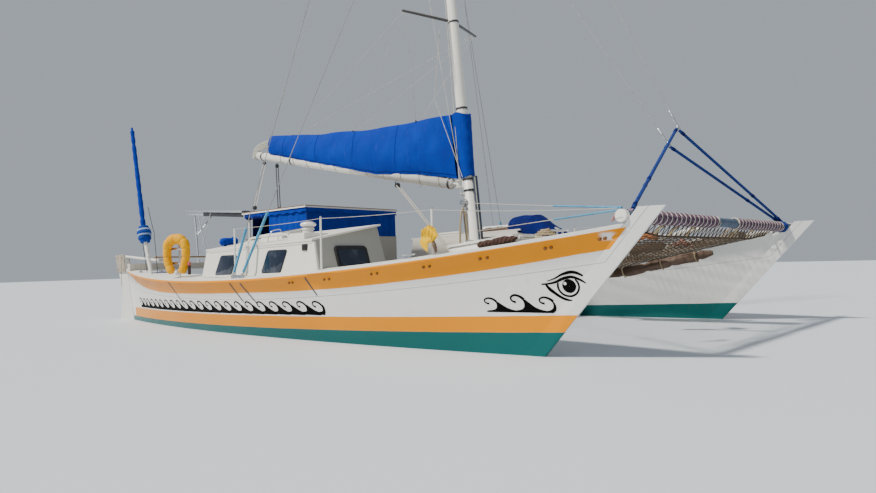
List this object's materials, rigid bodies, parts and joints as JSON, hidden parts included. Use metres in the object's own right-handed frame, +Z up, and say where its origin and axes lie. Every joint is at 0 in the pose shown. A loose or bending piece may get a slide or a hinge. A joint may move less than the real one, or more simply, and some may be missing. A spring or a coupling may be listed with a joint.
{
  "type": "catamaran",
  "caption": "Plywood double-canoe cruising catamaran with V-section hulls, cross beams, raked mast, covered boom, deck shelter, solar panel and linked tiller-steered rudders.",
  "frame": {"origin": "on the waterline, amidships, halfway between the hulls", "axes": "+X towards the bows, +Y to port, +Z up; the hulls float with the water's surface at z = 0"},
  "size_m": [12.1805, 6.4166, 13.0552],
  "materials": {
    "hull_paint": "gloss paint over plywood, white with orange bands, teal below the waterline",
    "cabin_paint": "satin off-white paint over plywood",
    "grey_paint": "weathered grey paint over plywood",
    "lid_paint": "satin cream paint over plywood",
    "timber": "worn varnish on timber",
    "weathered_timber": "bare, weathered timber",
    "netting": "dark brown webbing net",
    "blue_canvas": "blue canvas, seamed",
    "served_rope": "blue and white rope, wound close",
    "alloy": "satin, weathered",
    "steel": "stainless, dulled",
    "solar": "dark cells under glass in an aluminium frame",
    "buoy_foam": "yellow coated cloth over foam"
  },
  "bodies": {
    "boat": {"beam_aft": "timber", "beam_front": "served_rope", "beam_mast": "timber", "beam_middle": "timber", "beam_stern": "timber", "boarding_plank": "weathered_timber", "bridle_port": "served_rope", "bridle_starboard": "served_rope", "cabin_aft_port": "cabin_paint", "cabin_aft_starboard": "cabin_paint", "cabin_front_port": "grey_paint", "cabin_front_starboard": "grey_paint", "cabin_inboard_port": "cabin_paint", "cabin_inboard_starboard": "cabin_paint", "cabin_outboard_port": "cabin_paint", "cabin_outboard_starboard": "cabin_paint", "cabin_roof_port": "cabin_paint", "cabin_roof_starboard": "cabin_paint", "curtain_front": "blue_canvas", "curtain_port": "blue_canvas", "curtain_starboard": "blue_canvas", "deck_platform": "weathered_timber", "foredeck_net": "netting", "forestay_inner": "steel", "forestay_outer": "steel", "hardtop": "cabin_paint", "hull_aft_port": "hull_paint", "hull_aft_starboard": "hull_paint", "hull_fore_port": "hull_paint", "hull_fore_starboard": "hull_paint", "lifebuoy": "buoy_foam", "mast": "alloy", "mast_cover": "blue_canvas", "pod_walls": "grey_paint", "shrouds_port": "steel", "shrouds_starboard": "steel", "solar_leg_port": "steel", "solar_leg_starboard": "steel", "solar_panel": "solar", "stanchion_port_1": "steel", "stanchion_port_2": "steel", "stanchion_port_3": "steel", "stanchion_starboard_1": "steel", "stanchion_starboard_2": "steel", "stanchion_starboard_3": "steel", "stem_port": "hull_paint", "stem_starboard": "hull_paint", "stern_staff": "blue_canvas"},
    "boom": {"boom": "alloy", "sail_cover": "blue_canvas"},
    "rudder_starboard": {"rudder_starboard": "hull_paint", "tiller_starboard": "cabin_paint"},
    "rudder_port": {"rudder_port": "hull_paint", "tiller_port": "cabin_paint"},
    "tie_bar": {"tiller_bar": "timber"},
    "cabin_lid_starboard": {"cabin_hatch_starboard": "lid_paint"},
    "cabin_lid_port": {"cabin_hatch_port": "lid_paint"},
    "fore_lid_starboard": {"fore_hatch_starboard": "lid_paint"},
    "fore_lid_port": {"fore_hatch_port": "lid_paint"}
  },
  "joints": [
    {"name": "boom_swing", "type": "hinge", "parent": "boat", "child": "boom", "pos_m": [2.05983, 0, 2.26938], "axis": [-0.0896, 0, 0.996], "range_deg": [-50, 50]},
    {"name": "rudder_starboard_steer", "type": "hinge", "parent": "boat", "child": "rudder_starboard", "pos_m": [-4.634, -2.449, 0], "axis": [-0.3022, 0, 0.9533], "range_deg": [-35, 35]},
    {"name": "rudder_port_steer", "type": "hinge", "parent": "boat", "child": "rudder_port", "pos_m": [-4.634, 2.449, 0], "axis": [-0.3022, 0, 0.9533], "range_deg": [-35, 35]},
    {"name": "tie_bar_pivot", "type": "hinge", "parent": "rudder_starboard", "child": "tie_bar", "pos_m": [-3.70813, -2.449, 1.249], "axis": [-0.3022, 0, 0.9533], "range_deg": [-35, 35]},
    {"name": "cabin_lid_starboard_open", "type": "hinge", "parent": "boat", "child": "cabin_lid_starboard", "pos_m": [0.508, -2.1, 1.54733], "axis": [0, 0.9837, 0.18], "range_deg": [0, 100]},
    {"name": "cabin_lid_port_open", "type": "hinge", "parent": "boat", "child": "cabin_lid_port", "pos_m": [0.508, 2.1, 1.54733], "axis": [0, 0.9837, -0.18], "range_deg": [0, 100]},
    {"name": "fore_lid_starboard_open", "type": "hinge", "parent": "boat", "child": "fore_lid_starboard", "pos_m": [5.168, -2.449, 1.25053], "axis": [0, 1, 0], "range_deg": [0, 100]},
    {"name": "fore_lid_port_open", "type": "hinge", "parent": "boat", "child": "fore_lid_port", "pos_m": [5.168, 2.449, 1.25053], "axis": [0, 1, 0], "range_deg": [0, 100]}
  ],
  "couplings": [
    {"joint": "rudder_port_steer", "follows": "rudder_starboard_steer", "ratio": 1},
    {"joint": "tie_bar_pivot", "follows": "rudder_starboard_steer", "ratio": -1}
  ]
}
